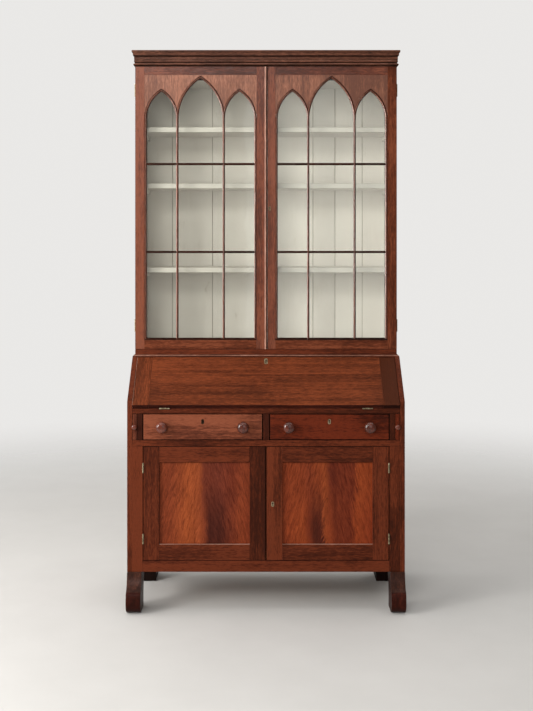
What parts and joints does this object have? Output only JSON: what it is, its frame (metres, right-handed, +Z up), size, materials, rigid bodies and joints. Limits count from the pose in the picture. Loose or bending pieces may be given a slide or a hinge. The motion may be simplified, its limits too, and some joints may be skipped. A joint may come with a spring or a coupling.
{
  "type": "bureau bookcase",
  "caption": "Tall wooden desk and bookcase: slanted fall over drawers and a panelled cupboard, under glazed doors with pointed arches, on scroll feet.",
  "frame": {"origin": "on the floor under the middle of the whole piece's bounding box", "axes": "+Z up, -Y towards the person in front, +X to that person's right"},
  "size_m": [1.074, 0.542, 2.182],
  "materials": {
    "mahogany_case": "old polished mahogany",
    "mahogany_glazed_doors": "faded old polished mahogany",
    "mahogany_fall": "old polished mahogany",
    "mahogany_drawers": "old polished mahogany",
    "mahogany_panels": "figured polished mahogany",
    "mahogany_feet": "dark old polished mahogany",
    "carcase_pine": "bare old softwood",
    "painted_interior": "old off-white paint",
    "window_glass": "clear old glass",
    "brass": "aged brass"
  },
  "bodies": {
    "carcase": {"base_side_left": "mahogany_case", "base_side_right": "mahogany_case", "base_back_boards": "carcase_pine", "base_bottom_board": "carcase_pine", "cupboard_face_frame": "mahogany_case", "drawer_rails": "mahogany_case", "drawer_dividers": "mahogany_case", "dust_board": "carcase_pine", "writing_bed": "mahogany_case", "desk_top_board": "mahogany_case", "cupboard_shelf": "carcase_pine", "shelf_cleats": "painted_interior", "feet": "mahogany_feet", "pigeonholes": "mahogany_case", "waist_moulding": "mahogany_case", "bookcase_side_left": "mahogany_case", "bookcase_side_right": "mahogany_case", "bookcase_top_and_bottom": "painted_interior", "bookcase_rails": "mahogany_case", "bookcase_back_boards": "painted_interior", "bookcase_shelves": "painted_interior", "cornice": "mahogany_case", "case_hinge_leaves_with_pins": "brass"},
    "left_glazed_door": {"left_glazed_door_frame": "mahogany_glazed_doors", "left_glazed_door_arched_head": "mahogany_glazed_doors", "left_glazed_door_bars": "mahogany_glazed_doors", "left_glazed_door_panes": "window_glass", "left_glazed_door_hinge_leaves": "brass"},
    "right_glazed_door": {"right_glazed_door_frame": "mahogany_glazed_doors", "right_glazed_door_arched_head": "mahogany_glazed_doors", "right_glazed_door_bars": "mahogany_glazed_doors", "right_glazed_door_panes": "window_glass", "right_glazed_door_hinge_leaves": "brass", "glazed_door_lock": "brass"},
    "glazed_door_bolt": {"glazed_door_lock_bolt": "brass"},
    "fall": {"fall_boards": "mahogany_fall", "fall_end_cleats": "mahogany_fall", "fall_lock": "brass", "fall_hinge_leaves": "brass"},
    "fall_bolt": {"fall_lock_bolt": "brass"},
    "left_loper": {"left_loper_bar": "mahogany_case"},
    "right_loper": {"right_loper_bar": "mahogany_case"},
    "left_drawer": {"left_drawer_front": "mahogany_drawers", "left_drawer_box": "carcase_pine", "left_drawer_knobs": "mahogany_drawers", "left_drawer_lock": "brass"},
    "right_drawer": {"right_drawer_front": "mahogany_drawers", "right_drawer_box": "carcase_pine", "right_drawer_knobs": "mahogany_drawers", "right_drawer_lock": "brass"},
    "left_drawer_bolt": {"left_drawer_lock_bolt": "brass"},
    "right_drawer_bolt": {"right_drawer_lock_bolt": "brass"},
    "left_cupboard_door": {"left_cupboard_door_frame": "mahogany_case", "left_cupboard_door_panel": "mahogany_panels", "left_cupboard_door_hinge_leaves": "brass"},
    "right_cupboard_door": {"right_cupboard_door_frame": "mahogany_case", "right_cupboard_door_panel": "mahogany_panels", "right_cupboard_door_hinge_leaves": "brass", "cupboard_lock": "brass"},
    "cupboard_bolt": {"cupboard_lock_bolt": "brass"}
  },
  "joints": [
    {"name": "left_glazed_door_hinge", "type": "hinge", "parent": "carcase", "child": "left_glazed_door", "pos_m": [-0.5255, -0.00666, 1.552], "axis": [0, 0, -1], "range_deg": [0, 170]},
    {"name": "right_glazed_door_hinge", "type": "hinge", "parent": "carcase", "child": "right_glazed_door", "pos_m": [0.5255, -0.00666, 1.552], "axis": [0, 0, 1], "range_deg": [0, 170]},
    {"name": "fall_hinge", "type": "hinge", "parent": "carcase", "child": "fall", "pos_m": [0, -0.2195, 0.7773], "axis": [1, 0, 0], "range_deg": [0, 139]},
    {"name": "left_cupboard_door_hinge", "type": "hinge", "parent": "carcase", "child": "left_cupboard_door", "pos_m": [-0.4719, -0.2205, 0.413], "axis": [0, 0, -1], "range_deg": [0, 170]},
    {"name": "right_cupboard_door_hinge", "type": "hinge", "parent": "carcase", "child": "right_cupboard_door", "pos_m": [0.4719, -0.2205, 0.413], "axis": [0, 0, 1], "range_deg": [0, 170]},
    {"name": "left_drawer_slide", "type": "slide", "parent": "carcase", "child": "left_drawer", "axis": [0, -1, 0], "range_m": [0, 0.3]},
    {"name": "left_loper_slide", "type": "slide", "parent": "carcase", "child": "left_loper", "axis": [0, -1, 0], "range_m": [0, 0.23]},
    {"name": "right_drawer_slide", "type": "slide", "parent": "carcase", "child": "right_drawer", "axis": [0, -1, 0], "range_m": [0, 0.3]},
    {"name": "right_loper_slide", "type": "slide", "parent": "carcase", "child": "right_loper", "axis": [0, -1, 0], "range_m": [0, 0.23]},
    {"name": "glazed_door_bolt_slide", "type": "slide", "parent": "right_glazed_door", "child": "glazed_door_bolt", "axis": [-1, 0, 0], "range_m": [0, 0.008]},
    {"name": "cupboard_bolt_slide", "type": "slide", "parent": "right_cupboard_door", "child": "cupboard_bolt", "axis": [-1, 0, 0], "range_m": [0, 0.008]},
    {"name": "fall_bolt_slide", "type": "slide", "parent": "fall", "child": "fall_bolt", "axis": [0, 0.7547, 0.6561], "range_m": [0, 0.008]},
    {"name": "left_drawer_bolt_slide", "type": "slide", "parent": "left_drawer", "child": "left_drawer_bolt", "axis": [0, 0, 1], "range_m": [0, 0.008]},
    {"name": "right_drawer_bolt_slide", "type": "slide", "parent": "right_drawer", "child": "right_drawer_bolt", "axis": [0, 0, 1], "range_m": [0, 0.008]}
  ]
}
